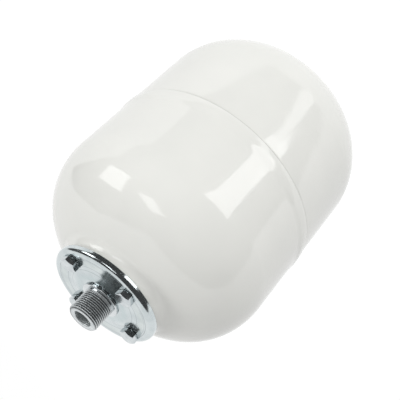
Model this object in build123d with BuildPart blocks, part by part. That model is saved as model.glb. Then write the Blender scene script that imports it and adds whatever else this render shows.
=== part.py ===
"""Hanging expansion tank: two deep-drawn steel halves, a rubber bladder clamped under a bolted flange with a
threaded water nipple, and an air valve in the rear end.

Millimetres. The tank's axis is Z, with the water nipple at the top. The origin is on the axis, on the
nipple's collar, where the threaded wall begins.
"""
from build123d import *
from math import asin, atan2, cos, degrees, hypot, radians, sin, sqrt, tan
import os

# Tank halves
tank_radius = 100.0
shell_wall = 1.2
crown_radius = 128.0            # outer radius of each end's flat middle
knuckle_radius = 62.0           # outer radius where each end turns into the side
front_side_length = 62.5        # straight side, from the front end's curve to the seam
rear_side_length = 67.5         # straight side, from the seam to the rear end's curve

# Seam: the front half's edge is opened out over the rear half's joggled edge
lip_length = 6.0
lip_rise = 0.9                  # how far the lip stands proud of the side
lip_taper_length = 8.0
lip_edge_round = 0.5
seam_clearance = 0.15
joggle_length = 2.5

# Flange seat and neck
mouth_radius = 26.0
bolt_circle_radius = 37.5
bolt_count = 4
seat_edge_room = 0.1            # flat left outside the weld nuts
neck_corner_radius = 2.0
neck_root_radius = 12.0
neck_height = 7.85              # the seat's height over the crown, at the neck's wall

# Counter flange
flange_thickness = 2.5
flange_bend_radius = 4.0
skirt_room = 0.2                # between the skirt and the neck
skirt_depth = 6.0               # from the flange's face to the skirt's back edge
middle_rise = 0.8
middle_radius = 27.0
middle_slope_width = 2.5
flange_edge_round = 0.3

# Water nipple, with a G 3/4 outside thread
thread_radius = 13.22
thread_length = 19.0
tip_chamfer = 1.2
water_bore_radius = 7.75
bore_chamfer = 0.8
collar_radius = 17.0
collar_height = 2.2
collar_edge_round = 0.8
spigot_radius = 11.0
spigot_clearance = 0.05
swage_radius = 13.5
swage_height = 1.2

# Bladder
lip_thickness = 3.5
lip_outer_radius = 30.0
lip_slope_room = 0.3            # between the lip's sloping rim and the flange's slope
neck_room = 0.5                 # between the bladder's neck and the mouth
bladder_wall = 2.0
bladder_radius = 78.0
bladder_crown_radius = 100.0
bladder_knuckle_radius = 50.0
bladder_root_radius = 10.0
bladder_neck_length = 18.0
bladder_side_length = 93.0

# Bolts and weld nuts, M8
bolt_radius = 4.0
bolt_length = 16.0
bolt_tip_chamfer = 0.9
bolt_hole_radius = 4.5
head_across_flats = 13.0
head_height = 5.3
head_top_radius = 6.1           # flat round top inside the chamfered corners
washer_face_height = 0.4
washer_face_inset = 0.3
head_turn = 26.6                # how far the heads' flats are turned from the tank's axis
nut_across_flats = 13.0
nut_height = 6.5
nut_top_radius = 6.2
thread_clearance = 0.05
hex_corner_slope = 30.0         # angle of the chamfer on hexagon corners

# Air valve, measured outwards from the small flat coined in the rear end
coin_radius = 13.0
valve_head_radius = 9.0
valve_head_height = 2.0
gasket_thickness = 1.5
shank_radius = 5.9
shank_clearance = 0.2
washer_thickness = 1.0
washer_radius = 9.0
valve_nut_across_flats = 17.0
valve_nut_height = 4.0
shank_end_room = 1.0            # shank left showing past the nut
stem_radius = 3.85
stem_length = 7.0
stem_chamfer = 0.4
air_bore_radius = 2.3
core_bore_radius = 2.65

# Valve core
core_bore_depth = 7.2           # from the stem's tip to the step that the core seals on
core_thread_radius = 2.6
core_thread_length = 5.2
core_body_radius = 2.15
core_seal_height = 1.2
core_nose_length = 1.8          # body reaching below the seal
core_ledge = 1.0
core_key_width = 3.6            # across the flats at the core's outer end
core_key_length = 1.5
spring_chamber_radius = 1.4
pin_radius = 0.55
pin_clearance = 0.2
pin_collar_radius = 1.15
pin_collar_height = 0.7
pin_tip_depth = 0.2             # the pin ends this far inside the stem's tip
pin_seal_radius = 1.35
pin_seal_height = 1.1
pin_cup_height = 0.7
spring_wire_radius = 0.2
spring_coil_radius = 0.95
spring_turns = 6
spring_length = 5.0

# Dust cap
cap_clearance = 0.1
cap_wall = 1.4
cap_top = 1.4
cap_seal_thickness = 0.9
cap_seal_room = 0.15            # between the seal's rim and the cap
cap_edge_room = 0.3             # between the cap's edge and the shank
cap_top_round = 1.0
cap_rib_count = 20
cap_rib_radius = 0.45
cap_rib_end_room = 1.2          # plain band past the ribs, at the closed end

# Places along the axis, from the collar backwards
flange_middle_z = -collar_height
flange_face_z = flange_middle_z - middle_rise
middle_underside_z = flange_middle_z - flange_thickness
seat_z = middle_underside_z - lip_thickness

# Neck and flange radii that follow from the bolts
seat_radius = bolt_circle_radius + nut_across_flats / 2 + seat_edge_room
neck_radius = seat_radius + neck_corner_radius
flange_radius = neck_radius + skirt_room + flange_thickness


def crown_half_angle(radius, crown, knuckle):
    """Angle at a crown's centre between the axis and the place where the crown meets the knuckle."""
    return degrees(asin((radius - knuckle) / (crown - knuckle)))


def crown_centre_offset(radius, crown, knuckle):
    """How far a crown's centre lies behind the centres of its knuckle."""
    return sqrt((crown - knuckle) ** 2 - (radius - knuckle) ** 2)


def outer_tangent_centre(centre_a, reach_a, centre_b, reach_b):
    """The point at these distances from two centres, on the side away from the axis."""
    gap = hypot(centre_b[0] - centre_a[0], centre_b[1] - centre_a[1])
    along = (reach_a**2 - reach_b**2 + gap**2) / (2 * gap)
    aside = sqrt(reach_a**2 - along**2)
    unit_x = (centre_b[0] - centre_a[0]) / gap
    unit_y = (centre_b[1] - centre_a[1]) / gap
    return (centre_a[0] + along * unit_x + aside * unit_y, centre_a[1] + along * unit_y - aside * unit_x)


def bearing(from_point, to_point):
    """Direction from one point to another, in degrees from the radial direction."""
    return degrees(atan2(to_point[1] - from_point[1], to_point[0] - from_point[0]))


end_angle = crown_half_angle(tank_radius, crown_radius, knuckle_radius)
end_offset = crown_centre_offset(tank_radius, crown_radius, knuckle_radius)
knuckle_centre_radius = tank_radius - knuckle_radius
front_crown_z = seat_z - neck_height - sqrt(crown_radius**2 - neck_radius**2)
front_side_z = front_crown_z + end_offset
seam_z = front_side_z - front_side_length
rear_side_z = seam_z - rear_side_length
rear_crown_z = rear_side_z + end_offset
corner_centre = (seat_radius, seat_z - neck_corner_radius)
root_centre = outer_tangent_centre(
    (0, front_crown_z), crown_radius + neck_root_radius, corner_centre, neck_corner_radius + neck_root_radius
)
coin_z = rear_crown_z - sqrt(crown_radius**2 - coin_radius**2)
tongue_radius = tank_radius + lip_rise - shell_wall - seam_clearance


def front_outline(inset):
    """The front half's outline, this far inside its outer skin, from the seat's rim to the seam."""
    corner_end = bearing(corner_centre, root_centre)
    root_end = bearing((0, front_crown_z), root_centre)
    Line((mouth_radius, seat_z - inset), (seat_radius, seat_z - inset))
    CenterArc(corner_centre, neck_corner_radius - inset, corner_end, 90 - corner_end)
    CenterArc(root_centre, neck_root_radius + inset, corner_end + 180, root_end - corner_end)
    CenterArc((0, front_crown_z), crown_radius - inset, 90 - end_angle, root_end + end_angle - 90)
    CenterArc((knuckle_centre_radius, front_side_z), knuckle_radius - inset, 0, 90 - end_angle)
    Polyline(
        (tank_radius - inset, front_side_z),
        (tank_radius - inset, seam_z + lip_length + lip_taper_length),
        (tank_radius + lip_rise - inset, seam_z + lip_length),
        (tank_radius + lip_rise - inset, seam_z),
    )


def rear_outline(inset):
    """The rear half's outline, this far inside its outer skin, from the joggled edge to the valve hole."""
    coin_edge = sqrt((crown_radius - inset) ** 2 - (rear_crown_z - coin_z - inset) ** 2)
    coin_angle = degrees(asin(coin_edge / (crown_radius - inset)))
    Polyline(
        (tongue_radius - inset, seam_z + lip_length),
        (tongue_radius - inset, seam_z),
        (tank_radius - inset, seam_z - joggle_length),
        (tank_radius - inset, rear_side_z),
    )
    CenterArc((knuckle_centre_radius, rear_side_z), knuckle_radius - inset, end_angle - 90, 90 - end_angle)
    CenterArc((0, rear_crown_z), crown_radius - inset, coin_angle - 90, end_angle - coin_angle)
    Line((coin_edge, coin_z + inset), (shank_radius + shank_clearance, coin_z + inset))


bladder_neck_radius = mouth_radius - neck_room
bladder_angle = crown_half_angle(bladder_radius, bladder_crown_radius, bladder_knuckle_radius)
bladder_offset = crown_centre_offset(bladder_radius, bladder_crown_radius, bladder_knuckle_radius)
bladder_root = (bladder_neck_radius + bladder_root_radius, seat_z - bladder_neck_length)
bladder_reach = bladder_crown_radius + bladder_root_radius
bladder_crown_z = bladder_root[1] - sqrt(bladder_reach**2 - bladder_root[0] ** 2)
bladder_top_z = bladder_crown_z + bladder_offset
bladder_bottom_z = bladder_top_z - bladder_side_length
bladder_end_z = bladder_bottom_z + bladder_offset - bladder_crown_radius


def bladder_outline(inset):
    """The bladder's outline below its lip, this far inside its outer skin."""
    knuckle_middle = bladder_radius - bladder_knuckle_radius
    knuckle = bladder_knuckle_radius - inset
    crown = bladder_crown_radius - inset
    root_end = bearing((0, bladder_crown_z), bladder_root)
    Line((bladder_neck_radius - inset, seat_z), (bladder_neck_radius - inset, bladder_root[1]))
    CenterArc(bladder_root, bladder_root_radius + inset, 180, root_end)
    CenterArc((0, bladder_crown_z), crown, 90 - bladder_angle, root_end + bladder_angle - 90)
    CenterArc((knuckle_middle, bladder_top_z), knuckle, 0, 90 - bladder_angle)
    Line((bladder_radius - inset, bladder_top_z), (bladder_radius - inset, bladder_bottom_z))
    CenterArc((knuckle_middle, bladder_bottom_z), knuckle, bladder_angle - 90, 90 - bladder_angle)
    CenterArc((0, bladder_bottom_z + bladder_offset), crown, -90, bladder_angle)


os.makedirs("parts", exist_ok=True)


def save(piece, name):
    """Name a finished piece and write it."""
    piece.part.label = name
    export_step(piece.part, f"parts/{name}.step")


# Front half of the tank
with BuildPart() as front_shell:
    with BuildSketch(Plane.XZ):
        with BuildLine():
            front_outline(0)
            front_outline(shell_wall)
            Line((mouth_radius, seat_z), (mouth_radius, seat_z - shell_wall))
            Line((tank_radius + lip_rise, seam_z), (tank_radius + lip_rise - shell_wall, seam_z))
        make_face()
    revolve(axis=Axis.Z)
    lip_edges = front_shell.edges().filter_by(GeomType.CIRCLE).group_by(Axis.Z)[0]
    fillet(lip_edges.sort_by(SortBy.RADIUS)[-1], min(lip_edge_round, 0.45 * shell_wall))
    with BuildSketch(Plane.XY.offset(seat_z)):
        with PolarLocations(bolt_circle_radius, bolt_count):
            Circle(bolt_hole_radius)
    extrude(amount=-2 * shell_wall, mode=Mode.SUBTRACT)
save(front_shell, "front_shell")

# Rear half of the tank
with BuildPart() as rear_shell:
    with BuildSketch(Plane.XZ):
        with BuildLine():
            rear_outline(0)
            rear_outline(shell_wall)
            Line((tongue_radius, seam_z + lip_length), (tongue_radius - shell_wall, seam_z + lip_length))
            Line(
                (shank_radius + shank_clearance, coin_z),
                (shank_radius + shank_clearance, coin_z + shell_wall),
            )
        make_face()
    revolve(axis=Axis.Z)
save(rear_shell, "rear_shell")

# Counter flange: a pressed plate with its middle raised and its edge turned back over the neck
flange_hole_radius = spigot_radius + spigot_clearance
flange_underside_z = flange_face_z - flange_thickness
skirt_z = flange_face_z - skirt_depth
flange_flat_radius = flange_radius - flange_bend_radius
slope_end_radius = middle_radius + middle_slope_width
with BuildPart() as counter_flange:
    with BuildSketch(Plane.XZ):
        with BuildLine():
            Polyline(
                (flange_flat_radius, flange_face_z),
                (slope_end_radius, flange_face_z),
                (middle_radius, flange_middle_z),
                (flange_hole_radius, flange_middle_z),
                (flange_hole_radius, middle_underside_z),
                (middle_radius, middle_underside_z),
                (slope_end_radius, flange_underside_z),
                (flange_flat_radius, flange_underside_z),
            )
            bend_centre = (flange_flat_radius, flange_face_z - flange_bend_radius)
            CenterArc(bend_centre, flange_bend_radius - flange_thickness, 0, 90)
            CenterArc(bend_centre, flange_bend_radius, 0, 90)
            Polyline(
                (flange_radius, flange_face_z - flange_bend_radius),
                (flange_radius, skirt_z),
                (flange_radius - flange_thickness, skirt_z),
                (flange_radius - flange_thickness, flange_face_z - flange_bend_radius),
            )
        make_face()
    revolve(axis=Axis.Z)
    skirt_edges = counter_flange.edges().filter_by(GeomType.CIRCLE).group_by(Axis.Z)[0]
    fillet(skirt_edges, flange_edge_round)
    with BuildSketch(Plane.XY.offset(flange_face_z)):
        with PolarLocations(bolt_circle_radius, bolt_count):
            Circle(bolt_hole_radius)
    extrude(amount=-2 * flange_thickness, mode=Mode.SUBTRACT)
save(counter_flange, "counter_flange")

# Water nipple: turned, with its spigot swaged over under the flange
with BuildPart() as water_nipple:
    with BuildSketch(Plane.XZ):
        with BuildLine():
            Polyline(
                (water_bore_radius, middle_underside_z - swage_height),
                (swage_radius, middle_underside_z - swage_height),
                (swage_radius, middle_underside_z),
                (spigot_radius, middle_underside_z),
                (spigot_radius, flange_middle_z),
                (collar_radius, flange_middle_z),
                (collar_radius, 0),
                (thread_radius, 0),
                (thread_radius, thread_length),
                (thread_radius - tip_chamfer, thread_length + tip_chamfer),
                (water_bore_radius + bore_chamfer, thread_length + tip_chamfer),
                (water_bore_radius, thread_length + tip_chamfer - bore_chamfer),
                close=True,
            )
        make_face()
    revolve(axis=Axis.Z)
    collar_edges = water_nipple.edges().filter_by(GeomType.CIRCLE)
    fillet(collar_edges.filter_by(lambda edge: abs(edge.radius - collar_radius) < 0.001), collar_edge_round)
save(water_nipple, "water_nipple")

# Bladder: a rubber bag hung by its lip
lip_flat_radius = middle_radius - 2 * lip_slope_room
lip_rim_z = middle_underside_z - middle_rise - lip_slope_room
with BuildPart() as bladder:
    with BuildSketch(Plane.XZ):
        with BuildLine():
            bladder_outline(0)
            bladder_outline(bladder_wall)
            Polyline(
                (bladder_neck_radius - bladder_wall, seat_z),
                (bladder_neck_radius - bladder_wall, middle_underside_z),
                (lip_flat_radius, middle_underside_z),
                (lip_outer_radius, lip_rim_z),
                (lip_outer_radius, seat_z),
                (bladder_neck_radius, seat_z),
            )
            Line((0, bladder_end_z), (0, bladder_end_z + bladder_wall))
        make_face()
    revolve(axis=Axis.Z)
save(bladder, "bladder")


def bolt_centre(number, height):
    """Where a bolt's axis passes this height."""
    turn = radians(360 / bolt_count * (number - 1))
    return Vector(bolt_circle_radius * cos(turn), bolt_circle_radius * sin(turn), height)


def side_plane(origin):
    """An upright plane through this point, with the distance from its axis and the height as coordinates."""
    return Plane(origin=origin, x_dir=(1, 0, 0), z_dir=(0, -1, 0))


def corner_radius(across_flats):
    """Distance from a hexagon's middle to its corners."""
    return across_flats / 2 / cos(radians(30))


def make_bolt(number):
    """A hex-head bolt, put in through the flange's face."""
    face_centre = bolt_centre(number, flange_face_z)
    head_corner = corner_radius(head_across_flats)
    corner_drop = (head_corner - head_top_radius) * tan(radians(hex_corner_slope))
    washer_face_radius = head_across_flats / 2 - washer_face_inset
    with BuildPart() as bolt:
        with BuildSketch(side_plane(face_centre)):
            with BuildLine():
                Polyline(
                    (0, -bolt_length),
                    (bolt_radius - bolt_tip_chamfer, -bolt_length),
                    (bolt_radius, bolt_tip_chamfer - bolt_length),
                    (bolt_radius, 0),
                    (washer_face_radius, 0),
                    (washer_face_radius, washer_face_height),
                    (head_corner, washer_face_height),
                    (head_corner, head_height - corner_drop),
                    (head_top_radius, head_height),
                    (0, head_height),
                    close=True,
                )
            make_face()
        revolve(axis=Axis(face_centre, (0, 0, 1)))
        with BuildSketch(Plane(face_centre).offset(-bolt_length)):
            RegularPolygon(head_across_flats / 2, 6, major_radius=False, rotation=head_turn)
        extrude(amount=bolt_length + head_height, mode=Mode.INTERSECT)
    return bolt


def make_weld_nut(number):
    """A hexagon nut welded to the underside of the seat, with one flat facing outwards."""
    top_centre = bolt_centre(number, seat_z - shell_wall)
    nut_corner = corner_radius(nut_across_flats)
    corner_drop = (nut_corner - nut_top_radius) * tan(radians(hex_corner_slope))
    with BuildPart() as nut:
        with BuildSketch(side_plane(top_centre)):
            with BuildLine():
                Polyline(
                    (bolt_radius + thread_clearance, 0),
                    (nut_top_radius, 0),
                    (nut_corner, -corner_drop),
                    (nut_corner, corner_drop - nut_height),
                    (nut_top_radius, -nut_height),
                    (bolt_radius + thread_clearance, -nut_height),
                    close=True,
                )
            make_face()
        revolve(axis=Axis(top_centre, (0, 0, 1)))
        with BuildSketch(Plane(top_centre)):
            RegularPolygon(nut_across_flats / 2, 6, major_radius=False, rotation=30)
        extrude(amount=-nut_height, mode=Mode.INTERSECT)
    return nut


for bolt_number in range(1, bolt_count + 1):
    save(make_bolt(bolt_number), f"flange_bolt_{bolt_number}")
    save(make_weld_nut(bolt_number), f"weld_nut_{bolt_number}")

# Air valve. Its sketches give the radius and the distance outwards from the coined flat.
valve_side = Plane(origin=(0, 0, coin_z), x_dir=(1, 0, 0), z_dir=(0, 1, 0))
valve_across = Plane(origin=(0, 0, coin_z), x_dir=(1, 0, 0), z_dir=(0, 0, -1))
gasket_start = -shell_wall - gasket_thickness
nut_start = washer_thickness
nut_end = nut_start + valve_nut_height
shank_end = nut_end + shank_end_room
stem_tip = shank_end + stem_length
core_step = stem_tip - core_bore_depth


def ring(inner_radius, outer_radius, start, end):
    """A plain ring round the valve's axis."""
    with BuildPart() as piece:
        with BuildSketch(valve_across.offset(start)):
            Circle(outer_radius)
            Circle(inner_radius, mode=Mode.SUBTRACT)
        extrude(amount=end - start)
    return piece


# Stem: turned brass, with a head inside the tank
with BuildPart() as valve_stem:
    with BuildSketch(valve_side):
        with BuildLine():
            Polyline(
                (air_bore_radius, gasket_start - valve_head_height),
                (valve_head_radius, gasket_start - valve_head_height),
                (valve_head_radius, gasket_start),
                (shank_radius, gasket_start),
                (shank_radius, shank_end),
                (stem_radius, shank_end),
                (stem_radius, stem_tip - stem_chamfer),
                (stem_radius - stem_chamfer, stem_tip),
                (core_bore_radius, stem_tip),
                (core_bore_radius, core_step),
                (air_bore_radius, core_step),
                close=True,
            )
        make_face()
    revolve(axis=Axis.Z)
save(valve_stem, "valve_stem")
save(ring(shank_radius + thread_clearance, valve_head_radius, gasket_start, -shell_wall), "valve_gasket")
save(ring(shank_radius + shank_clearance, washer_radius, 0, washer_thickness), "valve_washer")

# Lock nut, with its corners chamfered on the outer face
with BuildPart() as valve_nut:
    nut_corner_radius = corner_radius(valve_nut_across_flats)
    nut_face_radius = valve_nut_across_flats / 2 - washer_face_inset
    nut_drop = (nut_corner_radius - nut_face_radius) * tan(radians(hex_corner_slope))
    with BuildSketch(valve_side):
        with BuildLine():
            Polyline(
                (shank_radius + thread_clearance, nut_start),
                (nut_corner_radius, nut_start),
                (nut_corner_radius, nut_end - nut_drop),
                (nut_face_radius, nut_end),
                (shank_radius + thread_clearance, nut_end),
                close=True,
            )
        make_face()
    revolve(axis=Axis.Z)
    with BuildSketch(valve_across.offset(nut_start)):
        RegularPolygon(valve_nut_across_flats / 2, 6, major_radius=False)
    extrude(amount=valve_nut_height, mode=Mode.INTERSECT)
save(valve_nut, "valve_nut")

# Valve core: a screwed barrel with a seal under its shoulder and a sprung pin through it
core_shoulder = core_step + core_seal_height
core_end = core_shoulder + core_thread_length
core_nose = core_step - core_nose_length
spring_start = core_nose + core_ledge
pin_collar_start = spring_start + spring_length
with BuildPart() as valve_core:
    with BuildSketch(valve_side):
        with BuildLine():
            Polyline(
                (pin_radius + pin_clearance, core_nose),
                (core_body_radius, core_nose),
                (core_body_radius, core_shoulder),
                (core_thread_radius, core_shoulder),
                (core_thread_radius, core_end),
                (spring_chamber_radius, core_end),
                (spring_chamber_radius, spring_start),
                (pin_radius + pin_clearance, spring_start),
                close=True,
            )
        make_face()
    revolve(axis=Axis.Z)
    with BuildSketch(valve_across.offset(core_end - core_key_length)):
        Circle(core_thread_radius + thread_clearance)
        Rectangle(3 * core_thread_radius, core_key_width, mode=Mode.SUBTRACT)
    extrude(amount=core_key_length, mode=Mode.SUBTRACT)
save(valve_core, "valve_core")
core_seal_room = (core_bore_radius - core_thread_radius) / 2
core_seal = ring(core_body_radius + core_seal_room, core_bore_radius - core_seal_room, core_step, core_shoulder)
save(core_seal, "core_seal")

with BuildPart() as core_pin:
    pin_cup_end = core_nose - pin_seal_height
    with BuildSketch(valve_side):
        with BuildLine():
            Polyline(
                (0, pin_cup_end - pin_cup_height),
                (pin_seal_radius, pin_cup_end - pin_cup_height),
                (pin_seal_radius, pin_cup_end),
                (pin_radius, pin_cup_end),
                (pin_radius, pin_collar_start),
                (pin_collar_radius, pin_collar_start),
                (pin_collar_radius, pin_collar_start + pin_collar_height),
                (pin_radius, pin_collar_start + pin_collar_height),
                (pin_radius, stem_tip - pin_tip_depth),
                (0, stem_tip - pin_tip_depth),
                close=True,
            )
        make_face()
    revolve(axis=Axis.Z)
save(core_pin, "core_pin")
save(ring(pin_radius + core_seal_room, pin_seal_radius, pin_cup_end, core_nose), "pin_seal")

with BuildPart() as core_spring:
    coil_height = spring_length - 2 * spring_wire_radius
    coil_base = Vector(0, 0, coin_z - spring_start - spring_wire_radius)
    with BuildLine() as coil:
        Helix(
            pitch=coil_height / spring_turns,
            height=coil_height,
            radius=spring_coil_radius,
            center=coil_base,
            direction=(0, 0, -1),
        )
    with BuildSketch(Plane(origin=coil.line @ 0, z_dir=coil.line % 0)):
        Circle(spring_wire_radius)
    sweep(is_frenet=True)
save(core_spring, "core_spring")

# Dust cap, ribbed for the fingers, with a seal that closes the stem's tip
cap_inner_radius = stem_radius + cap_clearance
cap_outer_radius = cap_inner_radius + cap_wall
cap_edge = shank_end + cap_edge_room
cap_ceiling = stem_tip + cap_seal_thickness
cap_end = cap_ceiling + cap_top
with BuildPart() as valve_cap:
    with BuildSketch(valve_across.offset(cap_edge)):
        Circle(cap_outer_radius)
    extrude(amount=cap_end - cap_edge)
    cap_rims = valve_cap.edges().filter_by(GeomType.CIRCLE).group_by(Axis.Z)[0]
    fillet(cap_rims, cap_top_round)
    with BuildSketch(valve_across.offset(cap_edge)):
        with PolarLocations(cap_outer_radius, cap_rib_count):
            Circle(cap_rib_radius)
    extrude(amount=cap_end - cap_edge - cap_rib_end_room)
    with BuildSketch(valve_across.offset(cap_edge)):
        Circle(cap_inner_radius)
    extrude(amount=cap_ceiling - cap_edge, mode=Mode.SUBTRACT)
save(valve_cap, "valve_cap")
with BuildPart() as cap_seal:
    with BuildSketch(valve_across.offset(stem_tip)):
        Circle(cap_inner_radius - cap_seal_room)
    extrude(amount=cap_seal_thickness)
save(cap_seal, "cap_seal")
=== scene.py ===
# %% [markdown]
# A hanging expansion tank: two deep-drawn steel halves painted off-white, a bright zinc-plated flange with
# four hex bolts, and a threaded water nipple. The tank hangs by its nipple from the pipework, so its frame has
# the nipple at the top, and the camera is turned to see it lying on its side as the picture does.
# The imported model is the fixed frame, and it is loaded first.

# %% Load the frame
from math import asin, atan2, ceil, cos, degrees, hypot, pi, radians, sin, sqrt
import bmesh
import bpy
from mathutils import Matrix, Vector


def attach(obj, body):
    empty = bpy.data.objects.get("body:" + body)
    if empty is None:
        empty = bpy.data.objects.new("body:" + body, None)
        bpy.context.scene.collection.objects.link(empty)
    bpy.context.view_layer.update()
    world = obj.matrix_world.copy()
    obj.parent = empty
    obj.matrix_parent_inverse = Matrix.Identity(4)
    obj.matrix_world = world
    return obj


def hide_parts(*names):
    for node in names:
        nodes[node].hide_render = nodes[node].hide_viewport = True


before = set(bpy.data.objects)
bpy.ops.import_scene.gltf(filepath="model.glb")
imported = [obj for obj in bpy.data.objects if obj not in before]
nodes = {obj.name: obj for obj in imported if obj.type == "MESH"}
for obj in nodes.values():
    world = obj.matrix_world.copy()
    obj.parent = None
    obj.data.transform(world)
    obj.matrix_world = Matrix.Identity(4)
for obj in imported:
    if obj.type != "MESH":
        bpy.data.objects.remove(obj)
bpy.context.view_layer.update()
bpy.context.scene.view_settings.view_transform = "Standard"

# %% [markdown]
# The sizes below are the drawing's own, in millimetres, so that each turned or pressed piece can be spun again
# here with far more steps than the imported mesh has. A glossy surface shows every facet in its highlights, and
# that is the one reason to rebuild these pieces.

# %% Sizes of the tank halves
MM = 0.001
tank_radius = 100.0
shell_wall = 1.2
crown_radius = 128.0
knuckle_radius = 62.0
front_side_length = 62.5
rear_side_length = 67.5
lip_length = 6.0
lip_rise = 0.9
lip_taper_length = 8.0
lip_edge_round = 0.5
seam_clearance = 0.15
joggle_length = 2.5
mouth_radius = 26.0
bolt_circle_radius = 37.5
bolt_count = 4
bolt_hole_radius = 4.5
neck_corner_radius = 2.0
neck_root_radius = 12.0
neck_height = 7.85
seat_z = -8.2
seat_radius = 44.1
neck_radius = seat_radius + neck_corner_radius
coin_radius = 13.0
valve_hole_radius = 6.1

# %% [markdown]
# A turned piece starts as its outline. An arc of the outline is sampled finely, because the highlight on a
# painted dome slides over it without a break.

# %% Helper: an arc as points


def arc(centre, radius, start, sweep, steps):
    """Points on an arc, from an angle in degrees and over a sweep in degrees."""
    angles = [radians(start + sweep * step / steps) for step in range(steps + 1)]
    return [(centre[0] + radius * cos(angle), centre[1] + radius * sin(angle)) for angle in angles]


def bearing(from_point, to_point):
    """Direction from one point to another, in degrees from the radial direction."""
    return degrees(atan2(to_point[1] - from_point[1], to_point[0] - from_point[0]))


# %% Places along the tank's axis
knuckle_centre_radius = tank_radius - knuckle_radius
end_angle = degrees(asin(knuckle_centre_radius / (crown_radius - knuckle_radius)))
end_offset = sqrt((crown_radius - knuckle_radius) ** 2 - knuckle_centre_radius**2)
front_crown_z = seat_z - neck_height - sqrt(crown_radius**2 - neck_radius**2)
front_side_z = front_crown_z + end_offset
seam_z = front_side_z - front_side_length
rear_side_z = seam_z - rear_side_length
rear_crown_z = rear_side_z + end_offset
coin_z = rear_crown_z - sqrt(crown_radius**2 - coin_radius**2)
tongue_radius = tank_radius + lip_rise - shell_wall - seam_clearance
corner_centre = (seat_radius, seat_z - neck_corner_radius)
print("seam at", round(seam_z, 2), "mm, coined flat at", round(coin_z, 2), "mm")

# %% [markdown]
# The front half's outline runs from the tank's mouth over the flat seat, round the seat's corner, down the neck's
# hollow root and over the crown and the knuckle to the seam, where the edge is opened out into a lip.
# The same outline, moved in by the sheet's thickness, is the inner wall.

# %% Outline of the front half


def neck_root_centre():
    """The middle of the hollow arc that joins the seat's corner to the crown."""
    reach_a = crown_radius + neck_root_radius
    reach_b = neck_corner_radius + neck_root_radius
    gap = hypot(corner_centre[0], corner_centre[1] - front_crown_z)
    along = (reach_a**2 - reach_b**2 + gap**2) / (2 * gap)
    aside = sqrt(reach_a**2 - along**2)
    unit = (corner_centre[0] / gap, (corner_centre[1] - front_crown_z) / gap)
    return (along * unit[0] + aside * unit[1], front_crown_z + along * unit[1] - aside * unit[0])


root_centre = neck_root_centre()


def front_outline(inset):
    """The front half from the mouth to the seam, this far inside its outer skin."""
    corner_end = bearing(corner_centre, root_centre)
    root_end = bearing((0, front_crown_z), root_centre)
    crown_sweep = root_end + end_angle - 90
    points = [(mouth_radius, seat_z - inset), (33.0, seat_z - inset)]
    points += arc(corner_centre, neck_corner_radius - inset, 90, corner_end - 90, 8)
    points += arc(root_centre, neck_root_radius + inset, root_end + 180, corner_end - root_end, 16)[::-1][1:]
    points += arc((0, front_crown_z), crown_radius - inset, root_end, -crown_sweep, 28)[1:]
    points += arc((knuckle_centre_radius, front_side_z), knuckle_radius - inset, 90 - end_angle, end_angle - 90, 44)[1:]
    lip_start = seam_z + lip_length + lip_taper_length
    points += [(tank_radius - inset, front_side_z + (lip_start - front_side_z) * step / 6) for step in range(1, 7)]
    points += [(tank_radius - inset + lip_rise * (1 - cos(pi * step / 8)) / 2,
                lip_start - lip_taper_length * step / 8) for step in range(1, 9)]
    return points


def front_loop():
    """The closed outline of the front half's sheet."""
    rim = tank_radius + lip_rise
    edge = arc((rim - lip_edge_round, seam_z + lip_edge_round), lip_edge_round, 0, -90, 4)
    return front_outline(0) + edge + [(rim - shell_wall, seam_z)] + front_outline(shell_wall)[::-1]


print("front half's outline:", len(front_loop()), "points")

# %% [markdown]
# The rear half slips into that lip with a joggled edge, and ends in a small coined flat for the air valve.

# %% Outline of the rear half


def rear_outline(inset):
    """The rear half from its joggled edge to the valve hole, this far inside its outer skin."""
    coin_edge = sqrt((crown_radius - inset) ** 2 - (rear_crown_z - coin_z - inset) ** 2)
    coin_angle = degrees(asin(coin_edge / (crown_radius - inset)))
    points = [(tongue_radius - inset, seam_z + lip_length), (tongue_radius - inset, seam_z)]
    points += [(tongue_radius - inset + (tank_radius - tongue_radius) * (1 - cos(pi * step / 6)) / 2,
                seam_z - joggle_length * step / 6) for step in range(1, 7)]
    straight = rear_side_z - (seam_z - joggle_length)
    points += [(tank_radius - inset, seam_z - joggle_length + straight * step / 6) for step in range(1, 6)]
    points += arc((knuckle_centre_radius, rear_side_z), knuckle_radius - inset, 0, end_angle - 90, 44)
    points += arc((0, rear_crown_z), crown_radius - inset, end_angle - 90, coin_angle - end_angle, 36)[1:]
    points += [(coin_edge - 0.6, coin_z + inset), (valve_hole_radius, coin_z + inset)]
    return points


def rear_loop():
    """The closed outline of the rear half's sheet."""
    return rear_outline(0) + rear_outline(shell_wall)[::-1]


print("rear half's outline:", len(rear_loop()), "points")

# %% [markdown]
# One helper turns an outline into a solid: the points become a closed wire, and bmesh spins the wire round the
# axis. The merge at the end of a full spin closes the seam, and the normals are then pointed outwards.
# Edges sharper than 35 degrees stay crisp, and all the rest is shaded smooth.

# %% Helper: spin a closed outline


def spun(outline, steps):
    """A bmesh of this closed outline (radius and height in millimetres), turned once round the axis."""
    bm = bmesh.new()
    wire = [bm.verts.new((radius, 0, height)) for radius, height in outline]
    edges = [bm.edges.new((wire[step - 1], wire[step])) for step in range(len(wire))]
    bmesh.ops.spin(bm, geom=wire + edges, cent=(0, 0, 0), axis=(0, 0, 1), angle=2 * pi, steps=steps, use_merge=True)
    bmesh.ops.remove_doubles(bm, verts=bm.verts, dist=0.0005)
    bmesh.ops.recalc_face_normals(bm, faces=bm.faces)
    return bm


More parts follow.
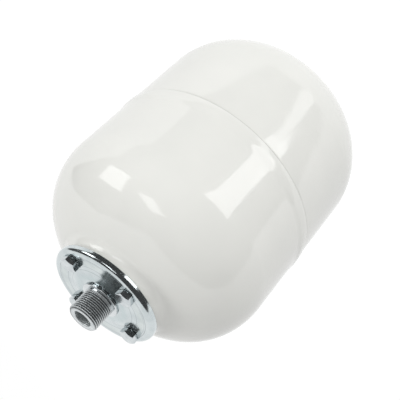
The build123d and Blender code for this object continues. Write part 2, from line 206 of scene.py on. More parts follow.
def finished(bm, name, sharp_angle=35):
    """A smooth-shaded object in metres from a bmesh in millimetres."""
    bmesh.ops.scale(bm, vec=(MM, MM, MM), verts=bm.verts)
    mesh = bpy.data.meshes.new(name)
    bm.to_mesh(mesh)
    bm.free()
    mesh.shade_smooth()
    mesh.set_sharp_from_angle(angle=radians(sharp_angle))
    piece = bpy.data.objects.new(name, mesh)
    bpy.context.scene.collection.objects.link(piece)
    print(name, len(mesh.polygons), "faces")
    return piece


# %% [markdown]
# The seat and the flange are punched with four bolt holes. The punches are four short cylinders in one mesh,
# and a Boolean modifier cuts them out. It is applied at once, so that the finished mesh is plain.

# %% Helper: punch the bolt holes


def punches(bottom, top):
    """Four cylinders on the bolt circle, between two heights."""
    bm = bmesh.new()
    for number in range(bolt_count):
        turn = 2 * pi * number / bolt_count
        centre = Vector((bolt_circle_radius * cos(turn), bolt_circle_radius * sin(turn), (bottom + top) / 2))
        bmesh.ops.create_cone(bm, cap_ends=True, segments=40, radius1=bolt_hole_radius, radius2=bolt_hole_radius,
                              depth=top - bottom, matrix=Matrix.Translation(centre))
    return finished(bm, "punches")


def punch_bolt_holes(piece, bottom, top):
    """Cut the bolt holes through a piece."""
    tool = punches(bottom, top)
    cut = piece.modifiers.new("holes", "BOOLEAN")
    cut.object = tool
    cut.operation = "DIFFERENCE"
    cut.solver = "EXACT"
    cut_mesh = bpy.data.meshes.new_from_object(piece.evaluated_get(bpy.context.evaluated_depsgraph_get()))
    piece.modifiers.clear()
    piece.data = cut_mesh
    cut_mesh.shade_smooth()
    cut_mesh.set_sharp_from_angle(angle=radians(35))
    bpy.data.objects.remove(tool)
    print(piece.name, "punched:", len(cut_mesh.polygons), "faces")


# %% The two tank halves
shell_steps = 224
front_shell = finished(spun(front_loop(), shell_steps), "front_shell_finished")
punch_bolt_holes(front_shell, seat_z - 4, seat_z + 2)
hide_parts("front_shell")
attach(front_shell, "tank")
rear_shell = finished(spun(rear_loop(), shell_steps), "rear_shell_finished")
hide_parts("rear_shell")
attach(rear_shell, "tank")

# %% [markdown]
# The counter flange is pressed from 2.5 mm sheet. Its middle is raised a little under the nipple's collar, and
# its rim is bent back over the tank's neck with a soft bend, which is what draws the bright ring in the picture.

# %% Counter flange
flange_thickness = 2.5
flange_bend_radius = 4.0
flange_radius = 48.8
flange_face_z = -3.0
flange_middle_z = -2.2
middle_radius = 27.0
middle_slope_width = 2.5
flange_hole_radius = 11.05
skirt_z = -9.0
flange_edge_round = 0.3


def flange_loop():
    """The closed outline of the flange's sheet."""
    flat_radius = flange_radius - flange_bend_radius
    bend_centre = (flat_radius, flange_face_z - flange_bend_radius)
    slope = middle_radius + middle_slope_width
    inner = flange_radius - flange_thickness
    corner = flange_edge_round
    points = [(flange_hole_radius, flange_middle_z), (middle_radius, flange_middle_z), (slope, flange_face_z)]
    points += [(slope + (flat_radius - slope) * step / 4, flange_face_z) for step in range(1, 4)]
    points += arc(bend_centre, flange_bend_radius, 90, -90, 18)
    points += [(flange_radius, flange_face_z - flange_bend_radius - 0.15), (flange_radius, skirt_z + corner + 0.1)]
    points += arc((flange_radius - corner, skirt_z + corner), corner, 0, -90, 4)
    points += arc((inner + corner, skirt_z + corner), corner, -90, -90, 4)
    points += arc(bend_centre, flange_bend_radius - flange_thickness, 0, 90, 10)
    points += [(slope, flange_face_z - flange_thickness), (middle_radius, flange_middle_z - flange_thickness)]
    points += [(flange_hole_radius, flange_middle_z - flange_thickness)]
    return points


counter_flange = finished(spun(flange_loop(), 192), "counter_flange_finished")
punch_bolt_holes(counter_flange, flange_face_z - 6, flange_face_z + 3)
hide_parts("counter_flange")
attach(counter_flange, "tank")

# %% [markdown]
# A screw thread is a ridge that climbs once round for each pitch. The threaded wall is spun as a plain fine
# grid, and each of its points is then drawn inwards by how far it stands from the ridge, measured along the axis
# plus the share of a turn that the point has gone round. The ridge and the groove are both rounded,
# as the pipe thread's are, and the groove fades out at the collar.

# %% Helper: cut a thread into a spun wall


def eased(share):
    """0 below 0, 1 above 1 and a smooth step between."""
    share = min(max(share, 0.0), 1.0)
    return share * share * (3 - 2 * share)


def cut_thread(bm, crest, depth, pitch, start, end, outwards=1, fade=1.0):
    """Draw a right-handed thread into the wall of this radius, between two heights along the axis."""
    valley = bm.verts.layers.float.new("valley")
    for point in bm.verts:
        radius = hypot(point.co.x, point.co.y)
        along = (point.co.z - start) * outwards
        length = abs(end - start)
        if radius < crest - depth - 0.4 or radius > crest + 0.001 or along < -0.001 or along > length + 0.001:
            continue
        turn = atan2(point.co.y, point.co.x) / (2 * pi)
        phase = (point.co.z / pitch - turn) % 1.0
        ridge = abs(2 * phase - 1)
        groove = eased(1.25 * ridge - 0.08)
        shown = eased(along / (fade * pitch))
        target = crest - depth * groove * shown
        point[valley] = groove * shown
        if radius > target:
            point.co.x *= target / radius
            point.co.y *= target / radius


# %% Water nipple
thread_radius = 13.22
thread_pitch = 1.814
thread_depth = 1.16
thread_length = 19.0
tip_chamfer = 1.2
water_bore_radius = 7.75
bore_chamfer = 0.8
collar_radius = 17.0
collar_edge_round = 0.8
spigot_radius = 11.0
swage_radius = 13.5
swage_height = 1.2


def nipple_loop():
    """The closed outline of the turned nipple, with its threaded wall in fine rows."""
    underside = flange_middle_z - flange_thickness
    rows = ceil(16 * thread_length / thread_pitch)
    tip = thread_length + tip_chamfer
    points = [(water_bore_radius, underside - swage_height), (swage_radius, underside - swage_height)]
    points += [(swage_radius, underside), (spigot_radius, underside), (spigot_radius, flange_middle_z)]
    collar_middle = collar_radius - collar_edge_round
    points += arc((collar_middle, flange_middle_z + collar_edge_round), collar_edge_round, -90, 90, 8)
    points += arc((collar_middle, -collar_edge_round), collar_edge_round, 0, 90, 8)
    points += [(collar_middle - 0.1, 0), (thread_radius + 0.1, 0)]
    points += [(thread_radius, thread_length * row / rows) for row in range(rows + 1)]
    points += [(thread_radius - tip_chamfer * step / 10, thread_length + tip_chamfer * step / 10) for step in range(1, 11)]
    points += [(10.4, tip), (water_bore_radius + bore_chamfer, tip), (water_bore_radius, tip - bore_chamfer)]
    points += [(water_bore_radius, 12.0), (water_bore_radius, 4.0)]
    return points


nipple_mesh = spun(nipple_loop(), 144)
cut_thread(nipple_mesh, thread_radius, thread_depth, thread_pitch, 0.9, thread_length + tip_chamfer)
water_nipple = finished(nipple_mesh, "water_nipple_finished", sharp_angle=50)
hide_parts("water_nipple")
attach(water_nipple, "tank")

# %% [markdown]
# The bolts keep the drawing's shape. A copy of each imported mesh is merged and its flat faces are joined, and a
# Bevel modifier then rounds the edges a little, because a plated edge catches the light.

# %% Bolts


def softened(name, body, width, sharp_angle=32):
    """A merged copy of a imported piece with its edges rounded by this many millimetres."""
    bm = bmesh.new()
    bm.from_mesh(nodes[name].data)
    bmesh.ops.remove_doubles(bm, verts=bm.verts, dist=0.00001)
    bmesh.ops.dissolve_limit(bm, angle_limit=radians(0.5), verts=bm.verts, edges=bm.edges)
    bmesh.ops.scale(bm, vec=(1 / MM, 1 / MM, 1 / MM), verts=bm.verts)
    piece = finished(bm, name + "_finished", sharp_angle)
    rounding = piece.modifiers.new("rounded edges", "BEVEL")
    rounding.width = width * MM
    rounding.segments = 2
    rounding.limit_method = "ANGLE"
    rounding.angle_limit = radians(28)
    rounding.harden_normals = False
    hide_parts(name)
    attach(piece, body)
    return piece


bolts = [softened(f"flange_bolt_{number}", "tank", 0.22) for number in range(1, bolt_count + 1)]

# %% [markdown]
# The finishes share five effects, and each is a node group: soft clouds, for the slow change that every real
# surface has; fine grain, for orange peel, rubber and moulded plastic; rings, for the circles that a lathe leaves;
# and two soft lines, one round the axis and one at a height, that carry painted shade lines and a plain tint.
# A group gives out masks, and the shader itself stays in each material.

# %% Shared effects


def new_group(name, inputs, outputs):
    """An empty shader node group with named inputs and outputs."""
    group = bpy.data.node_groups.new(name, "ShaderNodeTree")
    for label, kind, value in inputs:
        socket = group.interface.new_socket(name=label, in_out="INPUT", socket_type=kind)
        socket.default_value = value
    for label, kind in outputs:
        group.interface.new_socket(name=label, in_out="OUTPUT", socket_type=kind)
    return group, group.nodes.new("NodeGroupInput"), group.nodes.new("NodeGroupOutput")


def join(tree, source, target):
    """Link two sockets."""
    tree.links.new(source, target)


def noise_group(name, detail, roughness):
    """A group that gives noise over the object, spread between two values."""
    group, entry, result = new_group(
        name,
        [("Scale", "NodeSocketFloat", 100.0), ("Low", "NodeSocketFloat", 0.0), ("High", "NodeSocketFloat", 1.0)],
        [("Value", "NodeSocketFloat")])
    place = group.nodes.new("ShaderNodeTexCoord")
    noise = group.nodes.new("ShaderNodeTexNoise")
    noise.inputs["Detail"].default_value = detail
    noise.inputs["Roughness"].default_value = roughness
    spread = group.nodes.new("ShaderNodeMapRange")
    spread.inputs["From Min"].default_value = 0.3
    spread.inputs["From Max"].default_value = 0.7
    join(group, place.outputs["Object"], noise.inputs["Vector"])
    join(group, entry.outputs["Scale"], noise.inputs["Scale"])
    join(group, noise.outputs["Fac"], spread.inputs["Value"])
    join(group, entry.outputs["Low"], spread.inputs["To Min"])
    join(group, entry.outputs["High"], spread.inputs["To Max"])
    join(group, spread.outputs["Result"], result.inputs["Value"])
    return group


def rings_group():
    """A group that gives uneven circles round the tank's axis, as a lathe leaves them."""
    group, entry, result = new_group(
        "lathe rings",
        [("Per Metre", "NodeSocketFloat", 1500.0), ("Low", "NodeSocketFloat", 0.0), ("High", "NodeSocketFloat", 1.0)],
        [("Value", "NodeSocketFloat")])
    place = group.nodes.new("ShaderNodeTexCoord")
    parts = group.nodes.new("ShaderNodeSeparateXYZ")
    square_x = group.nodes.new("ShaderNodeMath")
    square_y = group.nodes.new("ShaderNodeMath")
    total = group.nodes.new("ShaderNodeMath")
    radius = group.nodes.new("ShaderNodeMath")
    reach = group.nodes.new("ShaderNodeMath")
    noise = group.nodes.new("ShaderNodeTexNoise")
    spread = group.nodes.new("ShaderNodeMapRange")
    square_x.operation = "MULTIPLY"
    square_y.operation = "MULTIPLY"
    total.operation = "ADD"
    radius.operation = "SQRT"
    reach.operation = "ADD"
    noise.noise_dimensions = "1D"
    noise.inputs["Detail"].default_value = 3.0
    spread.inputs["From Min"].default_value = 0.3
    spread.inputs["From Max"].default_value = 0.7
    join(group, place.outputs["Object"], parts.inputs[0])
    join(group, parts.outputs["X"], square_x.inputs[0])
    join(group, parts.outputs["X"], square_x.inputs[1])
    join(group, parts.outputs["Y"], square_y.inputs[0])
    join(group, parts.outputs["Y"], square_y.inputs[1])
    join(group, square_x.outputs[0], total.inputs[0])
    join(group, square_y.outputs[0], total.inputs[1])
    join(group, total.outputs[0], radius.inputs[0])
    join(group, radius.outputs[0], reach.inputs[0])
    join(group, parts.outputs["Z"], reach.inputs[1])
    join(group, reach.outputs[0], noise.inputs["W"])
    join(group, entry.outputs["Per Metre"], noise.inputs["Scale"])
    join(group, noise.outputs["Fac"], spread.inputs["Value"])
    join(group, entry.outputs["Low"], spread.inputs["To Min"])
    join(group, entry.outputs["High"], spread.inputs["To Max"])
    join(group, spread.outputs["Result"], result.inputs["Value"])
    return group


def circle_group():
    """A group that gives one circle round the tank's axis, of this radius and width, as a soft line."""
    group, entry, result = new_group(
        "pressed circle", [("Radius", "NodeSocketFloat", 0.03), ("Width", "NodeSocketFloat", 0.0005)],
        [("Value", "NodeSocketFloat")])
    place = group.nodes.new("ShaderNodeTexCoord")
    flat = group.nodes.new("ShaderNodeVectorMath")
    flat.operation = "MULTIPLY"
    flat.inputs[1].default_value = (1, 1, 0)
    reach = group.nodes.new("ShaderNodeVectorMath")
    reach.operation = "LENGTH"
    away = group.nodes.new("ShaderNodeMath")
    away.operation = "SUBTRACT"
    far = group.nodes.new("ShaderNodeMath")
    far.operation = "ABSOLUTE"
    line = group.nodes.new("ShaderNodeMapRange")
    line.interpolation_type = "SMOOTHSTEP"
    line.inputs["To Min"].default_value = 1.0
    line.inputs["To Max"].default_value = 0.0
    join(group, place.outputs["Object"], flat.inputs[0])
    join(group, flat.outputs[0], reach.inputs[0])
    join(group, reach.outputs["Value"], away.inputs[0])
    join(group, entry.outputs["Radius"], away.inputs[1])
    join(group, away.outputs[0], far.inputs[0])
    join(group, far.outputs[0], line.inputs["Value"])
    join(group, entry.outputs["Width"], line.inputs["From Max"])
    join(group, line.outputs["Result"], result.inputs["Value"])
    return group


def level_group():
    """A group that gives one line round the object at this height along the axis."""
    group, entry, result = new_group(
        "line at a height", [("Height", "NodeSocketFloat", 0.0), ("Width", "NodeSocketFloat", 0.0005)],
        [("Value", "NodeSocketFloat")])
    place = group.nodes.new("ShaderNodeTexCoord")
    parts = group.nodes.new("ShaderNodeSeparateXYZ")
    away = group.nodes.new("ShaderNodeMath")
    away.operation = "SUBTRACT"
    far = group.nodes.new("ShaderNodeMath")
    far.operation = "ABSOLUTE"
    line = group.nodes.new("ShaderNodeMapRange")
    line.interpolation_type = "SMOOTHSTEP"
    line.inputs["To Min"].default_value = 1.0
    line.inputs["To Max"].default_value = 0.0
    join(group, place.outputs["Object"], parts.inputs[0])
    join(group, parts.outputs["Z"], away.inputs[0])
    join(group, entry.outputs["Height"], away.inputs[1])
    join(group, away.outputs[0], far.inputs[0])
    join(group, far.outputs[0], line.inputs["Value"])
    join(group, entry.outputs["Width"], line.inputs["From Max"])
    join(group, line.outputs["Result"], result.inputs["Value"])
    return group


circle = circle_group()
level = level_group()
clouds = noise_group("soft clouds", 2.0, 0.5)
grain = noise_group("fine grain", 4.0, 0.6)
rings = rings_group()
print("shared effects:", clouds.name, grain.name, rings.name)

# %% [markdown]
# Each finish is then one short recipe: two near colours mixed by the clouds, a roughness that wanders, and a
# bump from the grain or the rings. The numbers that are the same all over a surface sit on the shader itself.

# %% Helper: a finish


def finish(name, light, dark, rough_low, rough_high, cloud_scale, metallic=0.0):
    """A material with its shader, its clouded colour and its wandering roughness."""
    material = bpy.data.materials.new(name)
    material.use_nodes = True
    tree = material.node_tree
    shader = tree.nodes["Principled BSDF"]
    shader.inputs["Metallic"].default_value = metallic
    patches = tree.nodes.new("ShaderNodeGroup")
    patches.node_tree = clouds
    patches.inputs["Scale"].default_value = cloud_scale
    colour = tree.nodes.new("ShaderNodeMix")
    colour.data_type = "RGBA"
    colour.inputs["A"].default_value = (*dark, 1)
    colour.inputs["B"].default_value = (*light, 1)
    wander = tree.nodes.new("ShaderNodeGroup")
    wander.node_tree = clouds
    wander.inputs["Scale"].default_value = cloud_scale * 2.3
    wander.inputs["Low"].default_value = rough_low
    wander.inputs["High"].default_value = rough_high
    join(tree, patches.outputs["Value"], colour.inputs["Factor"])
    join(tree, colour.outputs["Result"], shader.inputs["Base Color"])
    join(tree, wander.outputs["Value"], shader.inputs["Roughness"])
    return material


def add_bump(material, effect, scale, height_mm):
    """Raise a finish by an effect, in millimetres, on top of any bump that it already has."""
    tree = material.node_tree
    shader = tree.nodes["Principled BSDF"]
    source = tree.nodes.new("ShaderNodeGroup")
    source.node_tree = effect
    source.inputs[0].default_value = scale
    bump = tree.nodes.new("ShaderNodeBump")
    bump.inputs["Distance"].default_value = height_mm * MM
    bump.inputs["Strength"].default_value = 1.0
    join(tree, source.outputs["Value"], bump.inputs["Height"])
    if shader.inputs["Normal"].links:
        join(tree, shader.inputs["Normal"].links[0].from_socket, bump.inputs["Normal"])
    join(tree, bump.outputs["Normal"], shader.inputs["Normal"])
    return material


def add_line(material, effect, place_mm, width_mm, share, tint):
    """Tint one line round the axis: painted shade at the edge of a pressed step and at the bottom of a crevice, and
    also a plain tint.
    """
    tree = material.node_tree
    shader = tree.nodes["Principled BSDF"]
    line = tree.nodes.new("ShaderNodeGroup")
    line.node_tree = effect
    line.inputs[0].default_value = place_mm * MM
    line.inputs[1].default_value = width_mm * MM
    part = tree.nodes.new("ShaderNodeMath")
    part.operation = "MULTIPLY"
    part.inputs[1].default_value = share
    mix = tree.nodes.new("ShaderNodeMix")
    mix.data_type = "RGBA"
    mix.inputs["B"].default_value = (*tint, 1)
    join(tree, line.outputs["Value"], part.inputs[0])
    join(tree, part.outputs[0], mix.inputs["Factor"])
    join(tree, shader.inputs["Base Color"].links[0].from_socket, mix.inputs["A"])
    join(tree, mix.outputs["Result"], shader.inputs["Base Color"])
    return material


def darken_valleys(material, share):
    """Darken the grooves of a cut thread, where light is lost between the walls."""
    tree = material.node_tree
    shader = tree.nodes["Principled BSDF"]
    depth = tree.nodes.new("ShaderNodeAttribute")
    depth.attribute_name = "valley"
    shade = tree.nodes.new("ShaderNodeMapRange")
    shade.inputs["From Min"].default_value = 0.15
    shade.inputs["From Max"].default_value = 0.85
    shade.inputs["To Min"].default_value = 0.0
    shade.inputs["To Max"].default_value = share
    dim = tree.nodes.new("ShaderNodeMix")
    dim.data_type = "RGBA"
    dim.inputs["B"].default_value = (0.03, 0.034, 0.036, 1)
    join(tree, depth.outputs["Fac"], shade.inputs["Value"])
    join(tree, shade.outputs["Result"], dim.inputs["Factor"])
    join(tree, shader.inputs["Base Color"].links[0].from_socket, dim.inputs["A"])
    join(tree, dim.outputs["Result"], shader.inputs["Base Color"])
    return material


def paint_within(piece, material, reach_mm, lowest_mm=-1000.0):
    """Give the faces of a turned piece within this radius, and above this height, a further material."""
    piece.data.materials.append(material)
    for face in piece.data.polygons:
        if hypot(face.center.x, face.center.y) < reach_mm * MM and face.center.z > lowest_mm * MM:
            face.material_index = len(piece.data.materials) - 1


def paint_over(piece, material):
    """Give a piece one material."""
    piece.data.materials.clear()
    piece.data.materials.append(material)


# %% [markdown]
# The tank is coated with a warm off-white gloss powder paint. Such paint is never quite flat: slow waves bend
# the edges of the highlights, and a finer orange peel softens them.

# %% Tank paint
tank_paint = finish("tank paint", (0.795, 0.797, 0.762), (0.775, 0.778, 0.745), 0.06, 0.10, 30.0)
tank_shader = tank_paint.node_tree.nodes["Principled BSDF"]
tank_shader.inputs["IOR"].default_value = 1.5
add_bump(tank_paint, clouds, 45.0, 0.035)
add_bump(tank_paint, grain, 700.0, 0.0012)
# A dark line is painted just below the seam, as painted shade in the crevice under the front half's lip.
add_line(tank_paint, level, seam_z - 0.45, 0.95, 0.75, (0.30, 0.30, 0.27))
paint_over(front_shell, tank_paint)
paint_over(rear_shell, tank_paint)

# %% [markdown]
# Bright zinc is a bluish, mirror-like metal. On the pressed flange it keeps the circles of the tool that turned
# its blank, on the nipple those of the lathe, and on the bolts only the clouds of the plating bath.

# %% Zinc plating
zinc_sheet = finish("zinc on the flange", (0.64, 0.69, 0.70), (0.53, 0.585, 0.60), 0.10, 0.20, 90.0, metallic=1.0)
add_bump(zinc_sheet, rings, 900.0, 0.012)
add_bump(zinc_sheet, clouds, 160.0, 0.04)
# The thin dark circles at 42.4, 41, 34 and 29.4 mm are painted shade and painted reflection along small steps of the
# pressed face. The wide darker band round 22 mm is painted shade round the nipple's collar, and the faint band round 38
# mm is a plain tint.
for radius_mm, width_mm, share, tint in [(42.4, 0.5, 0.55, (0.16, 0.18, 0.19)), (41.0, 0.35, 0.4, (0.18, 0.20, 0.21)),
                                         (34.0, 0.45, 0.45, (0.16, 0.19, 0.20)), (29.4, 0.5, 0.35, (0.20, 0.24, 0.25)),
                                         (22.0, 5.5, 0.35, (0.46, 0.56, 0.57)), (38.0, 4.5, 0.2, (0.60, 0.66, 0.60))]:
    add_line(zinc_sheet, circle, radius_mm, width_mm, share, tint)
zinc_turned = finish("zinc on the nipple", (0.72, 0.75, 0.76), (0.60, 0.635, 0.65), 0.10, 0.18, 160.0, metallic=1.0)
add_bump(zinc_turned, rings, 1600.0, 0.008)
zinc_bolts = finish("zinc on the bolts", (0.68, 0.72, 0.73), (0.54, 0.58, 0.60), 0.12, 0.22, 220.0, metallic=1.0)
add_bump(zinc_bolts, clouds, 500.0, 0.03)
zinc_bore = finish("zinc in the bore", (0.42, 0.45, 0.455), (0.32, 0.345, 0.35), 0.45, 0.6, 200.0, metallic=0.75)
add_bump(zinc_bore, grain, 1500.0, 0.01)
zinc_threaded = finish("zinc on the thread", (0.72, 0.75, 0.76), (0.60, 0.635, 0.65), 0.30, 0.42, 160.0, metallic=0.75)
darken_valleys(zinc_threaded, 0.8)
paint_over(counter_flange, zinc_sheet)
paint_over(water_nipple, zinc_turned)
paint_within(water_nipple, zinc_threaded, thread_radius + 0.02, 0.5)
paint_within(water_nipple, zinc_bore, water_bore_radius + 0.1)
paint_over(nodes["valve_washer"], zinc_turned)
for bolt in bolts:
    paint_over(bolt, zinc_bolts)

# %% [markdown]
# The rest sits inside the tank or at the valve: plain steel nuts, black rubber, turned brass, spring wire and
# the black moulded cap. They get the same care, because the part can be opened and looked at from every side.

# %% Hidden and small pieces
plain_steel = finish("plain steel", (0.42, 0.41, 0.40), (0.28, 0.27, 0.26), 0.35, 0.5, 250.0, metallic=1.0)
add_bump(plain_steel, grain, 1500.0, 0.01)
bladder_rubber = finish("bladder rubber", (0.030, 0.030, 0.031), (0.018, 0.018, 0.019), 0.42, 0.6, 60.0)
add_bump(bladder_rubber, grain, 900.0, 0.02)
seal_rubber = finish("seal rubber", (0.024, 0.024, 0.026), (0.014, 0.014, 0.015), 0.45, 0.62, 300.0)
add_bump(seal_rubber, grain, 2500.0, 0.008)
valve_brass = finish("valve brass", (0.75, 0.55, 0.24), (0.62, 0.43, 0.17), 0.2, 0.34, 220.0, metallic=1.0)
add_bump(valve_brass, rings, 2600.0, 0.006)
spring_steel = finish("spring steel", (0.60, 0.60, 0.61), (0.42, 0.42, 0.43), 0.2, 0.32, 900.0, metallic=1.0)
add_bump(spring_steel, grain, 6000.0, 0.003)
cap_plastic = finish("cap plastic", (0.022, 0.022, 0.024), (0.014, 0.014, 0.015), 0.32, 0.46, 250.0)
add_bump(cap_plastic, grain, 2200.0, 0.006)
finishes = {
    "bladder": bladder_rubber, "valve_gasket": seal_rubber, "core_seal": seal_rubber, "pin_seal": seal_rubber,
    "cap_seal": seal_rubber, "valve_stem": valve_brass, "valve_nut": valve_brass, "valve_core": valve_brass,
    "core_pin": valve_brass, "core_spring": spring_steel, "valve_cap": cap_plastic,
}
for number in range(1, bolt_count + 1):
    finishes[f"weld_nut_{number}"] = plain_steel
for name, material in finishes.items():
    paint_over(nodes[name], material)
print("finishes on packed pieces:", len(finishes))

# %% [markdown]
# The camera stands where the picture was taken from. Its place was worked out from the outlines of the tank,
# the seam and the flange: about 64 cm away, a little above the nipple end, and turned about its own line of sight
# until the nipple points down to the left.

# %% Camera
camera_place = Vector((168.97, -501.20, 211.12)) * MM
sight = Vector((-0.27352, 0.79407, -0.54281)).normalized()
picture_right = Vector((-0.56944, -0.58849, -0.57395)).normalized()
picture_up = -sight.cross(picture_right).normalized()
focal_pixels = 725.1
picture_pixels = 400
sensor_mm = 36.0


def add_camera():
    """Make the camera with the picture's place, turn and focal length."""
    data = bpy.data.cameras.new("camera")
    data.sensor_width = sensor_mm
    data.lens = focal_pixels * sensor_mm / picture_pixels
    data.clip_start = 0.01
    data.clip_end = 50.0
    camera = bpy.data.objects.new("camera", data)
    bpy.context.scene.collection.objects.link(camera)
    turn = Matrix((picture_right, picture_up, -sight)).transposed().to_4x4()
    camera.matrix_world = Matrix.Translation(camera_place) @ turn
    bpy.context.scene.camera = camera
    print("camera lens", round(data.lens, 2), "mm")
    return camera


camera = add_camera()

# %% [markdown]
# The studio is white all round, as in the picture. The world is seen white by the camera and in reflections,
# and gives a plain grey fill light. One large lamp above the object, as the picture has it, lights it softly.

# %% World and lamp
tank_middle = Vector((0, 0, -143.0)) * MM
fill_light = 0.485


def add_world():
    """A world that looks white and lights the object with the fill light."""
    world = bpy.data.worlds.new("studio")
    bpy.context.scene.world = world
    world.use_nodes = True
    tree = world.node_tree
    path = tree.nodes.new("ShaderNodeLightPath")
    seen = tree.nodes.new("ShaderNodeMath")
    seen.operation = "MAXIMUM"
    shown = tree.nodes.new("ShaderNodeMath")
    shown.operation = "MAXIMUM"
    colour = tree.nodes.new("ShaderNodeMix")
    colour.data_type = "RGBA"
    colour.inputs["A"].default_value = (fill_light, fill_light, fill_light, 1)
    colour.inputs["B"].default_value = (1, 1, 1, 1)
    join(tree, path.outputs["Is Camera Ray"], seen.inputs[0])
    join(tree, path.outputs["Is Glossy Ray"], seen.inputs[1])
    join(tree, seen.outputs[0], shown.inputs[0])
    join(tree, path.outputs["Is Transmission Ray"], shown.inputs[1])
    join(tree, shown.outputs[0], colour.inputs["Factor"])
    join(tree, colour.outputs["Result"], tree.nodes["Background"].inputs["Color"])


def toward(right, up, back):
    """A direction given as the picture sees it: to the right, up, and back towards the camera."""
    return (picture_right * right + picture_up * up - sight * back).normalized()


def add_lamp(name, direction, distance, size, power):
    """A square lamp that looks at the tank and isn't mirrored in it."""
    data = bpy.data.lights.new(name, "AREA")
    data.shape = "SQUARE"
    data.size = size
    data.energy = power
    lamp = bpy.data.objects.new(name, data)
    bpy.context.scene.collection.objects.link(lamp)
    lamp.location = tank_middle + direction * distance
    lamp.rotation_euler = direction.to_track_quat("Z", "Y").to_euler()
    lamp.visible_glossy = False
    lamp.visible_camera = False
    return lamp


add_world()
key_lamp = add_lamp("key lamp", toward(0.05, 0.92, 0.40), 2.2, 2.6, 18.0)
left_lamp = add_lamp("left lamp", toward(-0.93, -0.08, 0.36), 2.2, 0.7, 12.0)
right_lamp = add_lamp("right lamp", toward(0.76, 0.40, 0.50), 2.2, 1.2, 11.6)
front_lamp = add_lamp("front lamp", toward(0.0, 0.10, 1.00), 2.4, 2.0, 17.0)
for lamp in (key_lamp, left_lamp, right_lamp, front_lamp):
    print(lamp.name, lamp.data.energy, "W")

# %% [markdown]
# The highlights in the paint are pictures of softboxes. Each softbox is one glowing sheet, seen only in
# reflections, with its corners in the directions in which the picture's highlight corners look.
# Dark cards work the other way round: the bright zinc needs something dark to mirror.

# %% Softboxes and cards


def glow(name, strength, shade=1.0):
    """A material that shines evenly."""
    material = bpy.data.materials.new(name)
    material.use_nodes = True
    tree = material.node_tree
    tree.nodes.remove(tree.nodes["Principled BSDF"])
    light = tree.nodes.new("ShaderNodeEmission")
    light.inputs["Color"].default_value = (shade, shade, shade, 1)
    light.inputs["Strength"].default_value = strength
    join(tree, light.outputs[0], tree.nodes["Material Output"].inputs["Surface"])
    return material


def add_sheet(name, corners, distance, strength, shade=1.0):
    """A flat sheet with its four corners in these directions, seen only in reflections."""
    bm = bmesh.new()
    bmesh.ops.create_grid(bm, x_segments=1, y_segments=1, size=1.0)
    bm.verts.ensure_lookup_table()
    ordered = sorted(bm.verts, key=lambda point: atan2(point.co.y, point.co.x))
    for point, corner in zip(ordered, corners):
        point.co = tank_middle + toward(*corner) * distance
    mesh = bpy.data.meshes.new(name)
    bm.to_mesh(mesh)
    bm.free()
    sheet = bpy.data.objects.new(name, mesh)
    bpy.context.scene.collection.objects.link(sheet)
    sheet.data.materials.append(glow(name, strength, shade))
    sheet.visible_camera = False
    sheet.visible_diffuse = False
    sheet.visible_shadow = False
    return sheet


def add_dark_room(rim):
    """The dim room on the camera's side, as a wide fan from behind the camera to a rim in these directions."""
    bm = bmesh.new()
    bmesh.ops.create_circle(bm, cap_ends=True, cap_tris=True, segments=len(rim), radius=1.0)
    hub = min(bm.verts, key=lambda point: point.co.length)
    ordered = sorted((point for point in bm.verts if point is not hub), key=lambda point: atan2(point.co.y, point.co.x))
    hub.co = tank_middle + toward(0, 0, 1) * room_radius
    for point, corner in zip(ordered, rim):
        point.co = tank_middle + toward(*corner) * room_radius
    mesh = bpy.data.meshes.new("dark room")
    bm.to_mesh(mesh)
    bm.free()
    room = bpy.data.objects.new("dark room", mesh)
    bpy.context.scene.collection.objects.link(room)
    room.data.materials.append(glow("dark room", room_glow))
    room.visible_camera = False
    room.visible_diffuse = False
    room.visible_shadow = False
    return room


room_radius = 5.0
room_glow = 0.07
room_rim = [(-1.0, -0.04, -0.05), (-0.97, -0.18, 0.19), (-0.92, -0.22, 0.33), (-0.56, -0.45, 0.70),
            (-0.21, -0.82, 0.52), (0.20, -0.92, 0.34), (0.53, -0.81, 0.26), (0.81, -0.55, 0.20),
            (0.99, -0.09, -0.04), (0.93, 0.37, -0.04), (0.50, 0.86, 0.0), (0.0, 1.0, -0.04), (-0.40, 0.91, 0.05),
            (-0.61, 0.77, 0.17), (-0.81, 0.57, -0.15), (-0.79, 0.34, -0.52), (-0.96, 0.11, -0.27)]
add_dark_room(room_rim)
add_sheet("right softbox", [(0.52, 0.51, 0.69), (0.83, 0.14, 0.54), (0.91, 0.36, 0.20), (0.76, 0.58, 0.29)], 2.5, 3.2)
add_sheet("right strip", [(0.84, 0.44, 0.31), (0.90, 0.32, 0.28), (0.90, 0.38, 0.22), (0.86, 0.46, 0.23)], 2.3, 4.0)
add_sheet("rear strip", [(0.80, 0.53, 0.28), (0.85, 0.47, 0.23), (0.79, 0.61, 0.06), (0.68, 0.70, 0.22)], 2.4, 2.2)
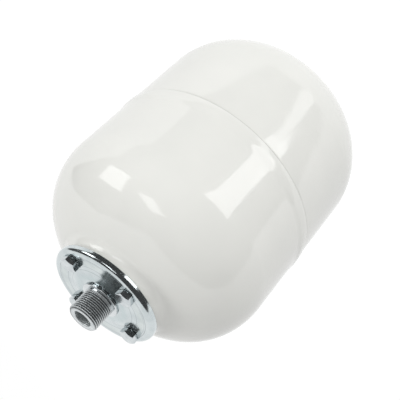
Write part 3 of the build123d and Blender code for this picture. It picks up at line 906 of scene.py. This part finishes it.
add_sheet("left softbox", [(-0.91, 0.38, 0.18), (-0.78, 0.21, 0.59), (-0.59, 0.54, 0.60), (-0.75, 0.63, 0.22)], 2.5, 3.5)
add_sheet("front softbox", [(-0.56, 0.29, 0.78), (-0.44, -0.02, 0.90), (-0.25, -0.06, 0.97), (-0.36, 0.24, 0.90)], 2.5, 3.0)
print("softboxes placed")

# %% [markdown]
# The floor is a wide pale sheet far below the hanging tank. It is lit as the object is, keeps the tank's faint
# shadow, and shines just enough for the camera to see it as white.

# %% Floor
floor_z = -3200.0
floor_glow = 0.62


def add_floor():
    """A wide pale floor below the tank."""
    bm = bmesh.new()
    bmesh.ops.create_grid(bm, x_segments=4, y_segments=4, size=12000.0)
    bmesh.ops.translate(bm, vec=(0, 0, floor_z), verts=bm.verts)
    floor = finished(bm, "floor")
    material = bpy.data.materials.new("floor paper")
    material.use_nodes = True
    tree = material.node_tree
    shader = tree.nodes["Principled BSDF"]
    shader.inputs["Base Color"].default_value = (0.82, 0.82, 0.82, 1)
    shader.inputs["Roughness"].default_value = 0.9
    shader.inputs["Specular IOR Level"].default_value = 0.0
    shader.inputs["Emission Strength"].default_value = 1.0
    path = tree.nodes.new("ShaderNodeLightPath")
    seen = tree.nodes.new("ShaderNodeMath")
    seen.operation = "MAXIMUM"
    shown = tree.nodes.new("ShaderNodeMath")
    shown.operation = "MAXIMUM"
    colour = tree.nodes.new("ShaderNodeMix")
    colour.data_type = "RGBA"
    colour.inputs["A"].default_value = (0, 0, 0, 1)
    colour.inputs["B"].default_value = (floor_glow, floor_glow, floor_glow, 1)
    join(tree, path.outputs["Is Camera Ray"], seen.inputs[0])
    join(tree, path.outputs["Is Glossy Ray"], seen.inputs[1])
    join(tree, seen.outputs[0], shown.inputs[0])
    join(tree, path.outputs["Is Transmission Ray"], shown.inputs[1])
    join(tree, shown.outputs[0], colour.inputs["Factor"])
    join(tree, colour.outputs["Result"], shader.inputs["Emission Color"])
    paint_over(floor, material)
    return floor


floor = add_floor()
